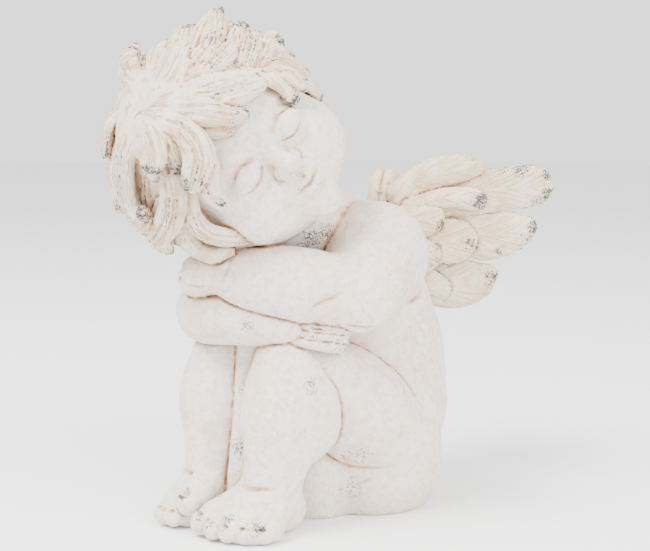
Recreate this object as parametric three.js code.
// Angel figurine: a winged child who sits with drawn-up knees, arms folded on them and the head laid
// on the arms. One hollow-cast piece, so it is one closed solid.
// Millimetres, +Z up. The origin is the middle of the seat's flat underside, +X is the figure's left
// and -Y its front.
import * as THREE from 'three';
import { edgeTable, triTable } from 'three/addons/objects/MarchingCubes.js';

// Overall size; the figure keeps its pose and proportions at any height
const TOTAL_HEIGHT = 241;

// The forms below are given for a figure of this height
const DRAWN_HEIGHT = 241;

// Wings
const WING_SWEEP = 45;
const RIGHT_WING_SWEEP = 54;
const RIGHT_WING_DROP = 8;
const WING_ROOT = [6, 32];
const FEATHER_BLEND = 0.8;

// Feet
const FEET_SHIFT = -1.5;
const ANKLE_SPACING = 20;
const ANKLE_FORWARD = 71;

// Head: its middle, and the ways its crown and its face point
const HEAD_MIDDLE = new THREE.Vector3(-4, -71, 178);
const CROWN_WAY = new THREE.Vector3(-0.29, -0.735, 0.61);
const FACE_WAY = new THREE.Vector3(0.92, -0.38, -0.015);
const SKULL_MIDDLE = new THREE.Vector3(-6, 0, 8);
const SKULL_RADII = new THREE.Vector3(46, 43, 44);

// Hair: the whorl that the locks run out from, in the head's own directions
const WHORL_WAY = new THREE.Vector3(0.41, -0.336, 0.848);
// A lock's thickness at its two ends, as a share of its middle
const ROOT_SHARE = 0.8;
const TIP_SHARE = 0.75;

// How soft the joins are
const TRUNK_BLEND = 12;
const CREASE = 2;
const KNEE_CREASE = 1.5;
const THIGH_CREASE = 2.5;

// Fineness of the solid
const GRID_STEP = 2.5;
const SOFTENING = 0.5;
const SOFTENING_ROUNDS = 3;
const TRIANGLES = 9400;

// The block of space that holds the figure
const HALF_WIDTH = 80;
const HAIR_REACH = 20;
const WING_LENGTH = 82;
const SPARE = 8;
const LOW = [-HALF_WIDTH, HEAD_MIDDLE.y - SKULL_RADII.x - HAIR_REACH, -GRID_STEP * 2.5];
const HIGH = [
  HALF_WIDTH,
  WING_ROOT[1] + WING_LENGTH * Math.sin(THREE.MathUtils.degToRad(RIGHT_WING_SWEEP)) + SPARE,
  HEAD_MIDDLE.z + SKULL_RADII.z + HAIR_REACH + SPARE,
];
const COUNT = LOW.map((low, i) => Math.ceil((HIGH[i] - low) / GRID_STEP) + 1);
const FAR = 40;

const degrees = Math.PI / 180;

// Smooth least of two distances
function softLeast(a, b, blend) {
  if (blend <= 0) return Math.min(a, b);
  const h = Math.max(blend - Math.abs(a - b), 0) / blend;
  return Math.min(a, b) - h * h * blend * 0.25;
}

// A smooth line through rows of numbers
function smoothRows(rows, count) {
  const last = rows.length - 1;
  const row = (i) => {
    if (i < 0) return rows[0].map((v, k) => 2 * v - rows[1][k]);
    if (i > last) return rows[last].map((v, k) => 2 * v - rows[last - 1][k]);
    return rows[i];
  };
  const out = [];
  for (let n = 0; n < count; n++) {
    const u = Math.min((n / (count - 1)) * last, last - 1e-9);
    const i = Math.floor(u);
    const t = u - i;
    const [a, b, c, d] = [row(i - 1), row(i), row(i + 1), row(i + 2)];
    out.push(b.map((_, k) => 0.5 * (2 * b[k] + (c[k] - a[k]) * t
      + (2 * a[k] - 5 * b[k] + 4 * c[k] - d[k]) * t * t
      + (3 * b[k] - a[k] - 3 * c[k] + d[k]) * t * t * t)));
  }
  return out;
}

// An ellipsoid; axes are its own three directions
function ball(middle, radii, axes) {
  const c = middle;
  const r = radii;
  const [u, v, w] = axes ?? [new THREE.Vector3(1, 0, 0), new THREE.Vector3(0, 1, 0), new THREE.Vector3(0, 0, 1)];
  const reach = ['x', 'y', 'z'].map((k) => Math.hypot(u[k] * r[0], v[k] * r[1], w[k] * r[2]));
  return {
    low: c.map((q, i) => q - reach[i]),
    high: c.map((q, i) => q + reach[i]),
    distance(x, y, z) {
      const [dx, dy, dz] = [x - c[0], y - c[1], z - c[2]];
      const a = u.x * dx + u.y * dy + u.z * dz;
      const b = v.x * dx + v.y * dy + v.z * dz;
      const e = w.x * dx + w.y * dy + w.z * dz;
      const near = Math.hypot(a / r[0], b / r[1], e / r[2]);
      const slope = Math.hypot(a / r[0] ** 2, b / r[1] ** 2, e / r[2] ** 2);
      return (near * (near - 1)) / Math.max(slope, 1e-6);
    },
  };
}

// A round limb through rows of x, y, z, radius
function limb(rows, count = 12) {
  const p = smoothRows(rows, count);
  return {
    low: [0, 1, 2].map((i) => Math.min(...p.map((q) => q[i] - q[3]))),
    high: [0, 1, 2].map((i) => Math.max(...p.map((q) => q[i] + q[3]))),
    distance(x, y, z) {
      let best = Infinity;
      for (let i = 0; i + 1 < p.length; i++) {
        const [a, b] = [p[i], p[i + 1]];
        const [ex, ey, ez] = [b[0] - a[0], b[1] - a[1], b[2] - a[2]];
        const [dx, dy, dz] = [x - a[0], y - a[1], z - a[2]];
        const along = (dx * ex + dy * ey + dz * ez) / (ex * ex + ey * ey + ez * ez);
        const t = Math.min(Math.max(along, 0), 1);
        const away = Math.hypot(dx - t * ex, dy - t * ey, dz - t * ez);
        best = Math.min(best, away - (a[3] + t * (b[3] - a[3])));
      }
      return best;
    },
  };
}

// A flat tongue through rows of x, y, z, half width, half thickness; facing gives its upper side
function tongue(rows, facings, count = 8) {
  const p = smoothRows(rows, count);
  const n = smoothRows(facings, count);
  const parts = [];
  for (let i = 0; i + 1 < count; i++) {
    const start = new THREE.Vector3(...p[i]);
    const run = new THREE.Vector3(...p[i + 1]).sub(start);
    const length = run.length();
    const way = run.normalize();
    const up = new THREE.Vector3(...n[i]).add(new THREE.Vector3(...n[i + 1]));
    up.addScaledVector(way, -up.dot(way)).normalize();
    const side = new THREE.Vector3().crossVectors(up, way);
    parts.push({ start, length, way, up, side, from: p[i], to: p[i + 1] });
  }
  const reach = (q) => Math.max(q[3], q[4]);
  return {
    low: [0, 1, 2].map((i) => Math.min(...p.map((q) => q[i] - reach(q)))),
    high: [0, 1, 2].map((i) => Math.max(...p.map((q) => q[i] + reach(q)))),
    distance(x, y, z) {
      let best = Infinity;
      for (const { start, length, way, up, side, from, to } of parts) {
        const [dx, dy, dz] = [x - start.x, y - start.y, z - start.z];
        const along = dx * way.x + dy * way.y + dz * way.z;
        const t = Math.min(Math.max(along / length, 0), 1);
        const across = dx * side.x + dy * side.y + dz * side.z;
        const over = dx * up.x + dy * up.y + dz * up.z;
        const past = along - t * length;
        const width = from[3] + t * (to[3] - from[3]);
        const height = from[4] + t * (to[4] - from[4]);
        const near = Math.hypot(across / width, over / height, past / height);
        const slope = Math.hypot(across / width ** 2, over / height ** 2, past / height ** 2);
        best = Math.min(best, (near * (near - 1)) / Math.max(slope, 1e-6));
      }
      return best;
    },
  };
}

// A block of space that shapes are pressed together in; distances below zero are inside
class Block {
  constructor() {
    this.field = new Float32Array(COUNT[0] * COUNT[1] * COUNT[2]).fill(FAR);
  }

  static index(i, j, k) {
    return (i * COUNT[1] + j) * COUNT[2] + k;
  }

  add(shape, blend = 0) {
    const margin = blend + GRID_STEP * 2;
    const from = LOW.map((low, i) => Math.max(Math.floor((shape.low[i] - margin - low) / GRID_STEP), 0));
    const to = LOW.map((low, i) => {
      return Math.min(Math.ceil((shape.high[i] + margin - low) / GRID_STEP), COUNT[i] - 1);
    });
    for (let i = from[0]; i <= to[0]; i++) {
      for (let j = from[1]; j <= to[1]; j++) {
        for (let k = from[2]; k <= to[2]; k++) {
          const at = Block.index(i, j, k);
          const x = LOW[0] + i * GRID_STEP;
          const y = LOW[1] + j * GRID_STEP;
          const z = LOW[2] + k * GRID_STEP;
          this.field[at] = softLeast(this.field[at], shape.distance(x, y, z), blend);
        }
      }
    }
    return this;
  }

  carve(shape, blend) {
    this.field.forEach((_, at) => { this.field[at] = -this.field[at]; });
    this.add(shape, blend);
    this.field.forEach((_, at) => { this.field[at] = -this.field[at]; });
    return this;
  }

  // Presses another block on; within the soft place the two melt into each other
  join(other, crease, soft) {
    for (let i = 0, at = 0; i < COUNT[0]; i++) {
      for (let j = 0; j < COUNT[1]; j++) {
        for (let k = 0; k < COUNT[2]; k++, at++) {
          let blend = crease;
          if (soft) {
            const x = LOW[0] + i * GRID_STEP - soft.middle[0];
            const y = LOW[1] + j * GRID_STEP - soft.middle[1];
            const z = LOW[2] + k * GRID_STEP - soft.middle[2];
            const t = THREE.MathUtils.clamp(1.5 - Math.hypot(x, y, z) / soft.radius, 0, 1);
            blend = Math.max(crease, crease + (soft.blend - crease) * t * t * (3 - 2 * t));
          }
          this.field[at] = softLeast(this.field[at], other.field[at], blend);
        }
      }
    }
    return this;
  }
}

// Trunk: hips, rounded back, chest, neck, and what fills the space behind the arms and the calves
function trunk() {
  const block = new Block();
  block.add(ball([0, 7, 50], [48, 45, 46]));
  block.add(ball([0, 12, 80], [42, 38, 38]), TRUNK_BLEND);
  block.add(ball([0, 5, 110], [37, 33, 34]), TRUNK_BLEND);
  block.add(limb([[0, -6, 132, 24], [2, -38, 146, 22]], 2), TRUNK_BLEND);
  block.add(ball([0, -40, 100], [34, 32, 26]), 6);
  block.add(ball([0, -30, 17], [29, 24, 32]), 6);
  block.add(limb([[-1, -64, 84, 9], [-1, -70, 60, 8], [-1.5, -72, 40, 8], [-2, -76, 25, 8]]), 4);
  for (const side of [-1, 1]) {
    block.add(ball([side * 20, 2, 20], [30, 36, 30]), 5);
  }
  return block;
}

function thigh(side) {
  const block = new Block();
  block.add(limb([
    [side * 23, 2, 34, 28],
    [side * 25, -20, 52, 27],
    [side * 22.5, -43, 69, 20.5],
    [side * 21.5, -59, 77, 17],
  ]));
  return block;
}

// Toes from the big one out; the right big toe rests on the left one
const LEFT_TOES = [
  { forward: 29, out: -16.5, z: 6.6, radius: 6 },
  { forward: 30.5, out: -7.5, z: 5.4, radius: 4.9 },
  { forward: 29, out: 0.5, z: 5.2, radius: 4.6 },
  { forward: 25, out: 8, z: 4.9, radius: 4.4 },
  { forward: 18.5, out: 14, z: 4.6, radius: 4.1 },
];
const RIGHT_TOES = [
  { forward: 26.5, out: -11.5, z: 13.2, radius: 6.6 },
  { forward: 30, out: -4.5, z: 5.4, radius: 4.8 },
  { forward: 30.5, out: 1.5, z: 5.2, radius: 4.6 },
  { forward: 28, out: 7, z: 4.9, radius: 4.4 },
  { forward: 23, out: 11.5, z: 4.6, radius: 4.1 },
];

function calf(side, toes) {
  const block = new Block();
  block.add(limb([
    [side * 21.5, -61, 77, 17.5],
    [side * 21.5, -65, 58, 20.5],
    [side * 21, -68, 42, 17],
    [side * 20, -71, 27, 13.5],
  ]));
  block.add(ball([side * 23, -55, 58], [20, 22, 27]), 6);
  addFoot(block, side, toes);
  return block;
}

function addFoot(block, side, toes) {
  // A place on the foot, so far before the ankle and so far outward
  const at = (forward, out, z) => [side * (ANKLE_SPACING + out) + FEET_SHIFT, -ANKLE_FORWARD - forward, z];
  block.add(ball(at(-6, 0, 10), [12, 12, 12]), 5);
  block.add(limb([[...at(-1, 0, 21), 12.5], [...at(9, 0, 13), 12], [...at(17, -1, 9), 10]], 5), 6);
  block.add(ball(at(13, -0.5, 5.5), [17.5, 15, 9]), 5);
  for (const { forward, out, z, radius } of toes) {
    const ankleEnd = [...at(2, out * 0.3, 17), 10];
    const toeEnd = [...at(forward - 7, out * 0.9, z + 2), radius + 1.2];
    block.add(limb([ankleEnd, toeEnd], 2), 3);
  }
  for (const { forward, out, z, radius } of toes) {
    const root = [...at(forward - 8, out * 0.9, z + 1), radius * 0.9];
    const tip = [...at(forward - 1, out, z), radius * 0.93];
    block.add(limb([root, tip], 2), 0.7);
  }
}

// Left arm: upper arm, plump forearm that slopes down to the elbow, and the fist past the wrist's crease
function leftArm() {
  const block = new Block();
  block.add(ball([28, -11, 126], [24.5, 24.5, 25.5]));
  block.add(limb([[29, -11, 126, 24.5], [39, -26, 119, 22], [44, -40, 112, 18]]), 6);
  block.add(limb([[45, -43, 110, 16], [30, -62, 115, 18], [12, -75, 118, 15.5], [-3, -81, 119, 9]]), 4);
  block.add(limb([[-4, -84, 120, 9.5], [-12, -86, 119, 10.5], [-20, -82, 116, 9]], 6), 2);
  return block;
}

// Fingers of the right hand: how close they lie, and how far each reaches past the first
const FINGER_SPACING = 3.7;
const FINGER_REACH = [0, 2.5, 1, -2];

// Right arm: it lies on the knees under the left one, and its hand comes out at the left side
function rightArm() {
  const block = new Block();
  block.add(ball([-29, -8, 126], [25, 25, 26]));
  block.add(limb([[-31, -8, 126, 25], [-40, -34, 111, 19], [-35, -60, 99, 15]]), 6);
  block.add(limb([
    [-33, -64, 98.5, 15],
    [-18, -76, 99, 14],
    [0, -78, 99, 12.5],
    [22, -68, 98, 11],
    [34, -57, 95, 8],
  ]), 4);
  for (let number = 0; number < FINGER_REACH.length; number++) {
    const drop = FINGER_SPACING * number;
    const reach = FINGER_REACH[number];
    block.add(limb([
      [28, -69, 102.5 - drop, 3],
      [39, -64, 101 - drop, 3],
      [45, -56.5 + 0.5 * reach, 99.5 - drop, 2.7],
      [45, -50 + reach, 98.5 - drop, 2.4],
    ], 8), 0.6);
  }
  return block;
}

// The head's own directions: toward the face, toward the left ear, toward the crown
const crown = CROWN_WAY.clone().normalize();
const face = FACE_WAY.clone().addScaledVector(crown, -FACE_WAY.dot(crown)).normalize();
const ear = new THREE.Vector3().crossVectors(crown, face);
const headAxes = [face, ear, crown];

function headPoint(toFace, toEar, toCrown) {
  return HEAD_MIDDLE.clone().addScaledVector(face, toFace).addScaledVector(ear, toEar)
    .addScaledVector(crown, toCrown);
}

function headBall(toFace, toEar, toCrown, radii) {
  return ball(headPoint(toFace, toEar, toCrown).toArray(), radii, headAxes);
}

function headLimb(rows, count) {
  return limb(rows.map(([toFace, toEar, toCrown, radius]) => {
    return [...headPoint(toFace, toEar, toCrown).toArray(), radius];
  }), count);
}

// Head: cranium, jaw, full cheeks, chin, nose, lips, ears and closed eyes of a sleeping infant
function head() {
  const block = new Block();
  block.add(headBall(...SKULL_MIDDLE.toArray(), SKULL_RADII.toArray()));
  block.add(headBall(8, 0, -18, [32, 36, 30]), 8);
  block.add(headBall(33, 0, -36, [9, 9, 9]), 8);
  for (const side of [-1, 1]) {
    block.add(headBall(22, side * 18, -17, [18, 18, 18]), 8);
    block.carve(headBall(45, side * 15.5, 1.5, [5, 9.5, 6.5]), 6);
    block.add(headBall(35.5, side * 15, -0.5, [6.2, 8.2, 5.8]), 2.5);
    block.add(headBall(-2, side * 42.5, -6, [7.5, 4.5, 10.5]), 2);
  }
  block.add(headLimb([[38.5, 0, 4, 3.4], [42, 0, -4, 3.8], [45, 0, -9.5, 4.6]], 6), 5);
  for (const side of [-1, 1]) {
    block.add(headBall(41.4, side * 4.6, -10.6, [3.6, 3.1, 2.9]), 2);
  }
  block.add(headBall(38.5, 0, -22, [6, 10, 7.5]), 6);
  block.add(headLimb([[42, -6, -20.5, 1.2], [44.6, 0, -19, 2], [42, 6, -20.5, 1.2]], 6), 1.5);
  block.add(headLimb([[41.5, -4.6, -25, 1.2], [43.8, 0, -25.6, 2.3], [41.5, 4.6, -25, 1.2]], 6), 1.5);
  return block;
}

// A place over the skull: angles from the whorl and round it, and the height over the skin
const whorl = WHORL_WAY.clone().normalize();
const whorlFace = new THREE.Vector3(1, 0, 0).addScaledVector(whorl, -whorl.x).normalize();
const whorlSide = new THREE.Vector3().crossVectors(whorl, whorlFace);

function overSkull(down, round, lift) {
  const way = whorl.clone().multiplyScalar(Math.cos(down * degrees))
    .addScaledVector(whorlFace, Math.sin(down * degrees) * Math.cos(round * degrees))
    .addScaledVector(whorlSide, Math.sin(down * degrees) * Math.sin(round * degrees));
  const skin = 1 / way.clone().divide(SKULL_RADII).length();
  const place = SKULL_MIDDLE.clone().addScaledVector(way, skin + lift);
  const facing = headPoint(...way.toArray()).sub(HEAD_MIDDLE);
  return { way, place: headPoint(...place.toArray()), facing };
}

function lock(points, widths, thickness) {
  const last = points.length - 1;
  const heights = points.map((_, i) => thickness * (i === 0 ? ROOT_SHARE : i === last ? TIP_SHARE : 1));
  const places = points.map(([down, round, lift]) => overSkull(down, round, lift));
  const rows = places.map(({ place }, i) => [...place.toArray(), widths[i], heights[i]]);
  return tongue(rows, places.map(({ facing }) => facing.toArray()), 10);
}

// The carved locks that show one by one. Each runs from its root to its tip, and a point is
// degrees down from the whorl, degrees round it from the face, and height over the skin.
const LOCKS = [
  { points: [[12, 146, 1], [29, 146, 6], [40, 134, 12]], widths: [3.5, 4, 5.6], thickness: 3.4 },
  { points: [[9, 60, 1], [28, 78, 5], [56, 104, 9]], widths: [4, 8, 7.4], thickness: 3.6 },
  { points: [[14, 108, 1], [34, 116, 5], [48, 120, 6]], widths: [5, 7, 5], thickness: 3.6 },
  { points: [[30, 88, 1], [46, 92, 6], [60, 92, 7]], widths: [6, 8, 5.5], thickness: 3.8 },
  { points: [[34, 60, 1], [52, 75, 8], [60, 82, 15]], widths: [7, 8.5, 4.8], thickness: 4.8 },
  { points: [[28, 50, 1], [48, 60, 6], [60, 66, 8]], widths: [7, 9, 6.5], thickness: 4.2 },
  { points: [[50, 46, 1], [60, 59, 7], [66, 66, 13]], widths: [5, 5, 3.4], thickness: 3.6 },
  { points: [[60, 44, 1], [67, 55, 7], [71, 62, 11]], widths: [4, 4.4, 3.2], thickness: 3.4 },
  { points: [[66, 46, 2], [75, 55, 9], [79, 56, 13]], widths: [4, 4.4, 4.2], thickness: 3.8 },
  { points: [[66, 44, 2], [82, 41, 6], [91, 34, 8]], widths: [4.5, 5.4, 4.2], thickness: 3.8 },
  { points: [[62, 42, 1], [74, 36, 5], [86, 27, 5]], widths: [4, 4.4, 3], thickness: 3.2 },
  { points: [[20, 30, 1], [46, 23, 5.5], [67, 33, 4.5]], widths: [4, 5.6, 2.8], thickness: 3.6 },
  { points: [[12, 40, 1], [40, 39, 4], [64, 38, 3]], widths: [5, 8.5, 4], thickness: 3.2 },
  { points: [[8, 14, 1], [36, 9, 6], [57, 10, 6]], widths: [4, 5.4, 2.6], thickness: 3.6 },
  { points: [[14, 2, 0], [38, -1, 3], [52, 2, 2]], widths: [4, 4.6, 2.6], thickness: 3 },
  {
    points: [[9, -4, 2], [36, -9, 7], [46, -24, 9], [49, -44, 9]],
    widths: [3.6, 4.6, 5.2, 4.8],
    thickness: 4.6,
  },
  {
    points: [[8, -17, 1], [24, -27, 5], [36, -44, 6], [41, -56, 5]],
    widths: [3, 3.6, 4, 3.4],
    thickness: 3.8,
  },
  { points: [[5, -39, 1], [20, -52, 6], [34, -68, 10]], widths: [3, 4.4, 5.6], thickness: 4.8 },
  {
    points: [[6, -120, 1], [22, -92, 4], [42, -84, 4], [52, -82, 2]],
    widths: [3, 3.6, 4, 3],
    thickness: 3.4,
  },
  {
    points: [[8, -163, 1], [31, -114, 5], [50, -103, 8], [61, -102, 11]],
    widths: [3, 4.8, 5.8, 5.2],
    thickness: 4.6,
  },
  {
    points: [[28, -40, 1], [46, -64, 6], [62, -84, 10], [77, -97, 13]],
    widths: [4, 5.4, 6, 5.2],
    thickness: 4.6,
  },
  { points: [[30, 165, 1], [42, -167, 7], [49, -146, 12]], widths: [4, 5.4, 4.6], thickness: 4 },
  { points: [[40, -160, 1], [53, -138, 7], [65, -120, 13]], widths: [4, 6, 5.2], thickness: 4.4 },
  {
    points: [[45, -17, 0], [53, -34, 4], [62, -38, 6], [66, -30, 5]],
    widths: [3, 3.4, 3.2, 2.4],
    thickness: 3.4,
  },
  {
    points: [[47, -52, 2], [66, -62, 7], [88, -68, 9], [106, -66, 9]],
    widths: [4.5, 5.4, 5, 3.4],
    thickness: 4.2,
  },
  {
    points: [[58, -72, 3], [78, -84, 10], [90, -86, 14], [99, -78, 14]],
    widths: [4, 5.6, 5.2, 4.2],
    thickness: 4.4,
  },
  { points: [[54, -82, 2], [72, -96, 10], [86, -102, 15]], widths: [4, 6, 4.8], thickness: 4.4 },
  { points: [[50, -110, 2], [66, -112, 10], [80, -116, 13]], widths: [4, 5.8, 4.8], thickness: 4.4 },
  { points: [[12, -180, 1], [25, -145, 3], [44, -134, 5]], widths: [3, 3.6, 3.4], thickness: 3.6 },
];

// Rows of like locks that cover the back of the head
const BACK_ROWS = [
  { start: 40, reach: 38, count: 8, lift: 9 },
  { start: 60, reach: 38, count: 10, lift: 8 },
  { start: 80, reach: 36, count: 11, lift: 8 },
  { start: 100, reach: 34, count: 10, lift: 7 },
  { start: 118, reach: 32, count: 9, lift: 6 },
];
const BACK_FROM = 78;
const BACK_SPAN = 200;
const HAIRLINE = 22;
const NAPE = -40;

// Short locks over the left temple and ear
const TEMPLE_LOCKS = [
  { start: 72, round: 74, end: 104, width: 5 },
  { start: 80, round: 62, end: 110, width: 5 },
  { start: 96, round: 50, end: 118, width: 4.5 },
  { start: 100, round: 72, end: 130, width: 5 },
  { start: 84, round: 88, end: 116, width: 5 },
];

function hair() {
  const block = new Block();
  block.add(headBall(-11, 0, 10, [47.5, 46, 47]));
  block.add(headBall(-14, -12, 4, [36, 42, 40]), 4);
  const press = (points, widths, thickness) => block.add(lock(points, widths, thickness), 0.6);
  for (const { points, widths, thickness } of LOCKS) {
    press(points, widths, thickness);
  }
  let number = 0;
  BACK_ROWS.forEach(({ start, reach, count, lift }, row) => {
    for (let i = 0; i < count; i++) {
      const round = BACK_FROM + (BACK_SPAN * (i + 0.5 * (row % 2))) / count;
      number += 1;
      const swing = 7 * Math.sin(2.3 * number);
      const tip = overSkull(start + reach, round, 0).place.sub(HEAD_MIDDLE);
      if (tip.dot(face) > HAIRLINE || tip.dot(crown) < NAPE) continue;
      const points = [
        [start, round - swing, 1],
        [start + reach / 2, round, 4],
        [start + reach, round + swing, lift],
      ];
      press(points, [6, 8, 4], 4.2);
    }
  });
  for (const { start, round, end, width } of TEMPLE_LOCKS) {
    press([[start, round, 1], [(start + end) / 2, round - 3, 4], [end, round - 8, 6]], [4, width, 3], 3.4);
  }
  return block;
}

// Feathers in the wing's own plane: rows of distance out from the root, height, half width.
// Depth is how far before the plane a feather lies.
const PRIMARIES = [
  { rows: [[4, 110, 12], [25, 107, 13], [39, 108, 12], [46, 111, 8], [49.5, 113.5, 4.5]], depth: -1.5 },
  { rows: [[4, 132, 10], [35, 132.5, 14], [56, 133.5, 12.5], [64.5, 135.5, 8.5], [69, 138, 5]], depth: 0 },
  { rows: [[4, 147, 9], [35, 153, 11], [60, 157, 11.5], [71, 158, 10.3], [76.5, 160, 6.5]], depth: 1.5 },
];
const COVERTS = {
  leading: [[0, 151, 8], [16, 162, 8.5], [33, 166.5, 7.5], [40, 167, 4.5]],
  second: [[5, 147, 4.5], [22, 151.5, 5.4], [36, 151.5, 6], [42, 149.8, 5]],
  shoulder: [[2, 141, 8], [14, 141, 9.5], [21, 141, 6.5]],
  middle: [[8, 131, 10], [25, 129.5, 12.5], [35, 130, 10.5], [39, 130.5, 6]],
  lower: [[4, 123, 8.5], [14, 122.5, 9.5], [20, 122.5, 6]],
  lowest: [[4, 106, 9], [17, 105, 10.5], [24, 105, 7.5], [26.5, 105, 4]],
};

function wing(side, sweep, drop) {
  const block = new Block();
  const out = [Math.cos(sweep * degrees), Math.sin(sweep * degrees)];
  const front = [out[1], -out[0]];
  const feather = (rows, depth, thickness) => {
    const placed = rows.map(([along, height, width]) => [
      side * (WING_ROOT[0] + along * out[0] + depth * front[0]),
      WING_ROOT[1] + along * out[1] + depth * front[1],
      height - drop,
      width,
      thickness,
    ]);
    block.add(tongue(placed, rows.map(() => [side * front[0], front[1], 0]), 9), FEATHER_BLEND);
  };
  for (const { rows, depth } of PRIMARIES) {
    feather(rows, depth, 3);
  }
  feather(COVERTS.leading, 2.5, 5);
  feather(COVERTS.lowest, 2.5, 2.6);
  feather(COVERTS.middle, 4, 2.8);
  feather(COVERTS.lower, 6, 2.8);
  feather(COVERTS.shoulder, 7.5, 3.2);
  feather(COVERTS.second, 6.5, 3.4);
  feather(COVERTS.leading, -2.5, 5);
  feather(COVERTS.lowest, -4.5, 2.6);
  feather(COVERTS.middle, -5, 2.8);
  feather(COVERTS.lower, -7, 2.8);
  feather(COVERTS.shoulder, -7, 3.2);
  feather(COVERTS.second, -6.5, 3.2);
  return block;
}

// The whole figure, cut flat at the ground
function figure() {
  const whole = trunk();
  for (const [side, toes] of [[1, LEFT_TOES], [-1, RIGHT_TOES]]) {
    whole.join(thigh(side), THIGH_CREASE, { middle: [side * 28, 4, 30], radius: 26, blend: 14 });
    whole.join(calf(side, toes), KNEE_CREASE, { middle: [side * 20, -66, 84], radius: 12, blend: 8 });
  }
  whole.join(rightArm(), CREASE, { middle: [-32, -6, 130], radius: 28, blend: 12 });
  whole.join(leftArm(), CREASE, { middle: [32, -6, 130], radius: 28, blend: 12 });
  whole.join(head(), CREASE);
  whole.join(wing(1, WING_SWEEP, 0), CREASE);
  whole.join(wing(-1, RIGHT_WING_SWEEP, RIGHT_WING_DROP), CREASE);
  whole.join(hair(), 1);
  for (let at = 0; at < whole.field.length; at++) {
    const z = LOW[2] + (at % COUNT[2]) * GRID_STEP;
    whole.field[at] = Math.max(whole.field[at], -z);
  }
  return whole.field;
}

// Marks the cells reached from a starting one through cells that pass the test
function flood(start, passes) {
  const reached = new Uint8Array(COUNT[0] * COUNT[1] * COUNT[2]);
  const steps = [COUNT[1] * COUNT[2], COUNT[2], 1];
  const stack = [start];
  reached[start] = 1;
  while (stack.length) {
    const at = stack.pop();
    const places = [Math.floor(at / steps[0]), Math.floor(at / steps[1]) % COUNT[1], at % COUNT[2]];
    for (let axis = 0; axis < 3; axis++) {
      for (const way of [-1, 1]) {
        const place = places[axis] + way;
        const next = at + way * steps[axis];
        if (place < 0 || place >= COUNT[axis] || reached[next] || !passes(next)) continue;
        reached[next] = 1;
        stack.push(next);
      }
    }
  }
  return reached;
}

// Fills what is closed off inside and drops what hangs free
function tidyField(field) {
  const open = flood(0, (at) => field[at] >= 0);
  for (let at = 0; at < field.length; at++) {
    if (field[at] >= 0 && !open[at]) field[at] = -GRID_STEP / 2;
  }
  const heart = LOW.map((low, i) => Math.round(([0, 5, 60][i] - low) / GRID_STEP));
  const joined = flood(Block.index(...heart), (at) => field[at] < 0);
  for (let at = 0; at < field.length; at++) {
    if (field[at] < 0 && !joined[at]) field[at] = GRID_STEP / 2;
  }
}

// Marching cubes over the block, with every crossing point shared
function surface(field) {
  const corners = [[0, 0, 0], [1, 0, 0], [1, 1, 0], [0, 1, 0], [0, 0, 1], [1, 0, 1], [1, 1, 1], [0, 1, 1]];
  const edges = [[0, 1], [1, 2], [3, 2], [0, 3], [4, 5], [5, 6], [7, 6], [4, 7], [0, 4], [1, 5], [2, 6], [3, 7]];
  const points = [];
  const faces = [];
  const known = new Map();
  const crossing = (cell, edge) => {
    const [a, b] = edges[edge].map((c) => corners[c].map((v, i) => v + cell[i]));
    const axis = [0, 1, 2].find((i) => a[i] !== b[i]);
    const key = Block.index(...a) * 3 + axis;
    if (!known.has(key)) {
      const [fa, fb] = [field[Block.index(...a)], field[Block.index(...b)]];
      const t = THREE.MathUtils.clamp(fa / (fa - fb), 0.04, 0.96);
      const point = a.map((v, i) => LOW[i] + (v + t * (b[i] - v)) * GRID_STEP);
      if (Math.abs(point[2]) < 1e-3) point[2] = 0;
      known.set(key, points.length);
      points.push(new THREE.Vector3(...point));
    }
    return known.get(key);
  };
  for (let i = 0; i + 1 < COUNT[0]; i++) {
    for (let j = 0; j + 1 < COUNT[1]; j++) {
      for (let k = 0; k + 1 < COUNT[2]; k++) {
        let kind = 0;
        corners.forEach(([a, b, c], n) => {
          if (field[Block.index(i + a, j + b, k + c)] < 0) kind |= 1 << n;
        });
        if (edgeTable[kind] === 0) continue;
        for (let n = kind * 16; triTable[n] !== -1; n += 3) {
          faces.push([0, 2, 1].map((m) => crossing([i, j, k], triTable[n + m])));
        }
      }
    }
  }
  return { points, faces };
}

// Evens out the steps that the grid leaves on thin edges, without shrinking the form
function soften({ points, faces }) {
  const around = points.map(() => new Set());
  for (const [a, b, c] of faces) {
    around[a].add(b).add(c);
    around[b].add(c).add(a);
    around[c].add(a).add(b);
  }
  for (let round = 0; round < SOFTENING_ROUNDS; round++) {
    for (const share of [SOFTENING, -SOFTENING * 1.06]) {
      const middles = points.map((_, p) => {
        const middle = new THREE.Vector3();
        for (const q of around[p]) middle.add(points[q]);
        return middle.divideScalar(around[p].size);
      });
      points.forEach((point, p) => {
        if (point.z > 0) point.lerp(middles[p], share);
        if (point.z < 0.02) point.z = 0;
      });
    }
  }
  return { points, faces };
}

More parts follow.
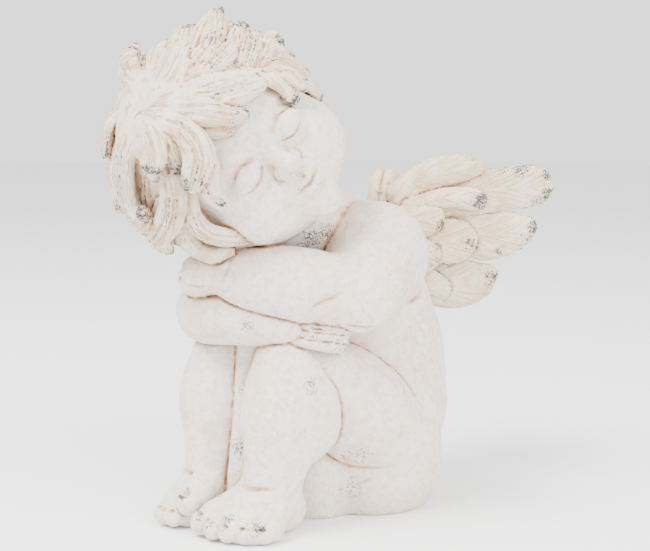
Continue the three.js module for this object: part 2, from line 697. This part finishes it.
// Error of moving a corner, as the sum of squared distances from the planes of its faces
class PlaneErrors {
  constructor() {
    this.q = new Float64Array(10);
  }

  addPlane(n, d, weight) {
    const v = [n.x, n.y, n.z, d];
    let at = 0;
    for (let i = 0; i < 4; i++) {
      for (let j = i; j < 4; j++) this.q[at++] += weight * v[i] * v[j];
    }
  }

  static sum(a, b) {
    const out = new PlaneErrors();
    out.q.forEach((_, i) => { out.q[i] = a.q[i] + b.q[i]; });
    return out;
  }

  at({ x, y, z }) {
    const q = this.q;
    return q[0] * x * x + 2 * q[1] * x * y + 2 * q[2] * x * z + 2 * q[3] * x
      + q[4] * y * y + 2 * q[5] * y * z + 2 * q[6] * y
      + q[7] * z * z + 2 * q[8] * z + q[9];
  }

  // The place of least error, or nothing where the planes don't settle one
  best() {
    const q = this.q;
    const m = new THREE.Matrix3().set(q[0], q[1], q[2], q[1], q[4], q[5], q[2], q[5], q[7]);
    if (Math.abs(m.determinant()) < 1e-3) return null;
    return new THREE.Vector3(-q[3], -q[6], -q[8]).applyMatrix3(m.invert());
  }
}

// A queue that gives the cheapest entry first
class Queue {
  constructor() {
    this.items = [];
  }

  push(item) {
    const a = this.items;
    let i = a.push(item) - 1;
    while (i > 0) {
      const up = (i - 1) >> 1;
      if (a[up].cost <= a[i].cost) break;
      [a[up], a[i]] = [a[i], a[up]];
      i = up;
    }
  }

  pop() {
    const a = this.items;
    const top = a[0];
    const last = a.pop();
    if (a.length) {
      a[0] = last;
      for (let i = 0; ;) {
        const left = 2 * i + 1;
        if (left >= a.length) break;
        const least = left + 1 < a.length && a[left + 1].cost < a[left].cost ? left + 1 : left;
        if (a[i].cost <= a[least].cost) break;
        [a[i], a[least]] = [a[least], a[i]];
        i = least;
      }
    }
    return top;
  }
}

// Joins short edges one by one, the least missed first, until few enough triangles are left.
// The surface stays closed and the corners on the ground stay on it.
function simplify({ points, faces }, target) {
  const around = points.map(() => new Set());
  const errors = points.map(() => new PlaneErrors());
  const stamps = new Uint32Array(points.length);
  const alive = new Uint8Array(faces.length).fill(1);
  const normalOf = (a, b, c) => {
    return new THREE.Vector3().subVectors(b, a).cross(new THREE.Vector3().subVectors(c, a));
  };
  faces.forEach((face3, f) => {
    const [a, b, c] = face3.map((p) => points[p]);
    const normal = normalOf(a, b, c);
    const area = normal.length() / 2;
    normal.normalize();
    for (const p of face3) {
      around[p].add(f);
      errors[p].addPlane(normal, -normal.dot(a), area);
    }
  });
  const neighbours = (p) => {
    const out = new Set();
    for (const f of around[p]) faces[f].forEach((q) => out.add(q));
    out.delete(p);
    return out;
  };
  const queue = new Queue();
  const offer = (a, b) => {
    const error = PlaneErrors.sum(errors[a], errors[b]);
    const [pa, pb] = [points[a], points[b]];
    const grounded = [pa.z === 0, pb.z === 0];
    const choices = [];
    if (grounded[0] === grounded[1]) {
      const best = error.best();
      if (best && best.distanceTo(pa) < 2 * pa.distanceTo(pb)) choices.push(best);
      choices.push(pa.clone(), pb.clone(), pa.clone().lerp(pb, 0.5));
      if (grounded[0]) choices.forEach((p) => { p.z = 0; });
    } else {
      choices.push(grounded[0] ? pa.clone() : pb.clone());
    }
    const scored = choices.map((place) => ({ place, cost: error.at(place) }));
    const { place, cost } = scored.reduce((least, one) => (one.cost < least.cost ? one : least));
    queue.push({ a, b, place, cost: cost + 1e-4 * pa.distanceToSquared(pb), stamp: stamps[a] + stamps[b] });
  };
  const turnsOver = (p, other, place) => {
    for (const f of around[p]) {
      if (faces[f].includes(other)) continue;
      const old = normalOf(...faces[f].map((q) => points[q]));
      const now = normalOf(...faces[f].map((q) => (q === p ? place : points[q])));
      if (old.dot(now) < 0.3 * old.length() * now.length() || now.length() < 0.02) return true;
    }
    return false;
  };
  faces.forEach(([a, b, c]) => {
    if (a < b) offer(a, b);
    if (b < c) offer(b, c);
    if (c < a) offer(c, a);
  });
  let left = faces.length;
  while (left > target && queue.items.length) {
    const { a, b, place, stamp } = queue.pop();
    if (!around[a].size || !around[b].size || stamp !== stamps[a] + stamps[b]) continue;
    const shared = [...neighbours(a)].filter((p) => around[b].size && neighbours(b).has(p));
    if (shared.length !== 2 || turnsOver(a, b, place) || turnsOver(b, a, place)) continue;
    for (const f of [...around[b]]) {
      if (faces[f].includes(a)) {
        faces[f].forEach((p) => around[p].delete(f));
        alive[f] = 0;
        left -= 1;
      } else {
        faces[f] = faces[f].map((p) => (p === b ? a : p));
        around[a].add(f);
      }
    }
    around[b].clear();
    points[a] = place;
    errors[a] = PlaneErrors.sum(errors[a], errors[b]);
    stamps[a] += stamps[b] + 1;
    for (const p of neighbours(a)) offer(a, p);
  }
  return { points, faces: faces.filter((_, f) => alive[f]) };
}

function geometryOf({ points, faces }) {
  const numbers = new Map();
  const positions = [];
  const scale = TOTAL_HEIGHT / DRAWN_HEIGHT;
  const index = faces.flat().map((p) => {
    if (!numbers.has(p)) {
      numbers.set(p, numbers.size);
      positions.push(...points[p].clone().multiplyScalar(scale).toArray());
    }
    return numbers.get(p);
  });
  const geometry = new THREE.BufferGeometry();
  geometry.setAttribute('position', new THREE.Float32BufferAttribute(positions, 3));
  geometry.setIndex(index);
  geometry.computeVertexNormals();
  return geometry;
}

const whitewash = new THREE.MeshStandardMaterial({ color: '#e9e4dc', roughness: 0.9, metalness: 0 });

const field = figure();
tidyField(field);
const cast = new THREE.Mesh(geometryOf(simplify(soften(surface(field)), TRIANGLES)), whitewash);
cast.name = 'angel_figurine';

const group = new THREE.Group();
group.add(cast);

export default group;
